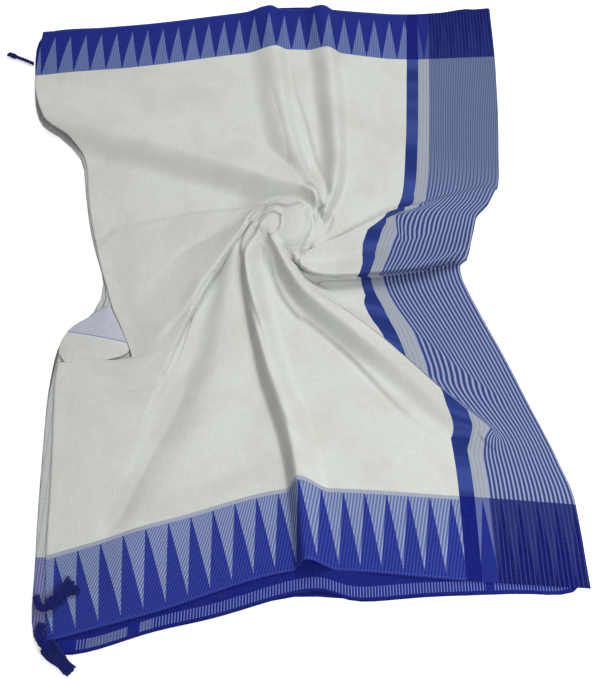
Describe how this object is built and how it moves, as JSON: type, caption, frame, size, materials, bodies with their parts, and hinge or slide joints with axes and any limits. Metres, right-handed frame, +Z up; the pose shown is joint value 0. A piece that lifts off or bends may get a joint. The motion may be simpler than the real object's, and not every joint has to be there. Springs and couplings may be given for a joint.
{
  "type": "folded saree",
  "caption": "White cotton saree with blue temple borders and a striped end piece, folded flat, pinched and twisted at its middle, with tasselled corners.",
  "frame": {"origin": "on the surface the cloth rests on, under the middle of its whole outline with the tassels", "axes": "+X from the tasselled edge to the folded end piece, +Y from the near hem to the far hem, +Z up"},
  "size_m": [0.9811, 1.2233, 0.0592],
  "materials": {
    "white_cotton": "matte plain weave",
    "blue_border": "matte plain weave with woven temple spikes",
    "blue_band": "soft sheen plain weave",
    "striped_end": "matte weave with fine lengthwise stripes",
    "under_layers": "matte plain weave",
    "flap_stripe": "matte weave, pale reverse side",
    "tassel_yarn": "twisted cotton yarn"
  },
  "bodies": {
    "root": {"body_field": "white_cotton", "near_border": "blue_border", "far_border": "blue_border", "cross_band": "blue_band", "end_piece": "striped_end", "wound_middle": "white_cotton", "second_layer": "under_layers", "hidden_layers": "under_layers", "notch_flap": "flap_stripe", "tassel_far": "tassel_yarn", "tassel_near_upper": "tassel_yarn", "tassel_near_lower": "tassel_yarn"}
  },
  "joints": []
}
